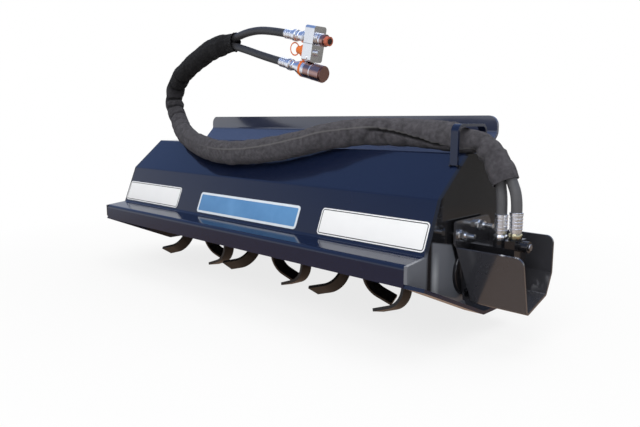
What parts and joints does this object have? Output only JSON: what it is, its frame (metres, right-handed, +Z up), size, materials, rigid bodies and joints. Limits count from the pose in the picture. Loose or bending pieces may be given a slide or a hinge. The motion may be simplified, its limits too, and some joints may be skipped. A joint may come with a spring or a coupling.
{
  "type": "hydraulic rotary tiller attachment",
  "caption": "Rotavator attachment for a compact loader: bent sheet hood with end plates, curved-tine rotor, hydraulic motor in a guard, loader mounting plate and sleeved hoses.",
  "frame": {"origin": "on the floor, below the middle of the machine's box without its hoses", "axes": "+X along the rotor towards the motor, +Y towards the loader, +Z up"},
  "size_m": [1.422, 0.423, 0.7487],
  "materials": {
    "blue_paint": "gloss",
    "black_paint": "gloss",
    "skid_steel": "gloss",
    "dark_steel": "satin",
    "motor_black": "gloss",
    "zinc": "satin",
    "sleeve_fabric": "matte",
    "hose_rubber": "satin",
    "orange_rubber": "satin"
  },
  "bodies": {
    "frame": {"bearing_housing_left": "black_paint", "bearing_housing_right": "black_paint", "coupler_bracket": "zinc", "dust_cap": "orange_rubber", "end_plate_left": "black_paint", "end_plate_right": "black_paint", "hood": "blue_paint", "hose_guide": "black_paint", "hose_sleeve": "sleeve_fabric", "hydraulic_motor": "motor_black", "lower_ferrule_1": "zinc", "lower_ferrule_2": "zinc", "lower_hose_1": "hose_rubber", "lower_hose_2": "hose_rubber", "motor_end_cover": "motor_black", "motor_guard": "black_paint", "mount_bolts": "zinc", "mount_plate": "blue_paint", "port_adapter_1": "zinc", "port_adapter_2": "zinc", "quick_coupler_1": "zinc", "quick_coupler_2": "zinc", "skid_left": "skid_steel", "skid_right": "skid_steel", "upper_ferrule_1": "zinc", "upper_ferrule_2": "zinc", "upper_hose_1": "hose_rubber", "upper_hose_2": "hose_rubber"},
    "rotor": {"rotor_tube": "dark_steel", "tines_left_hand": "dark_steel", "tines_right_hand": "dark_steel"}
  },
  "joints": [
    {"name": "rotor_spin", "type": "hinge", "parent": "frame", "child": "rotor", "pos_m": [-0.069, 0.0095, 0.1435], "axis": [1, 0, 0], "continuous": true}
  ]
}
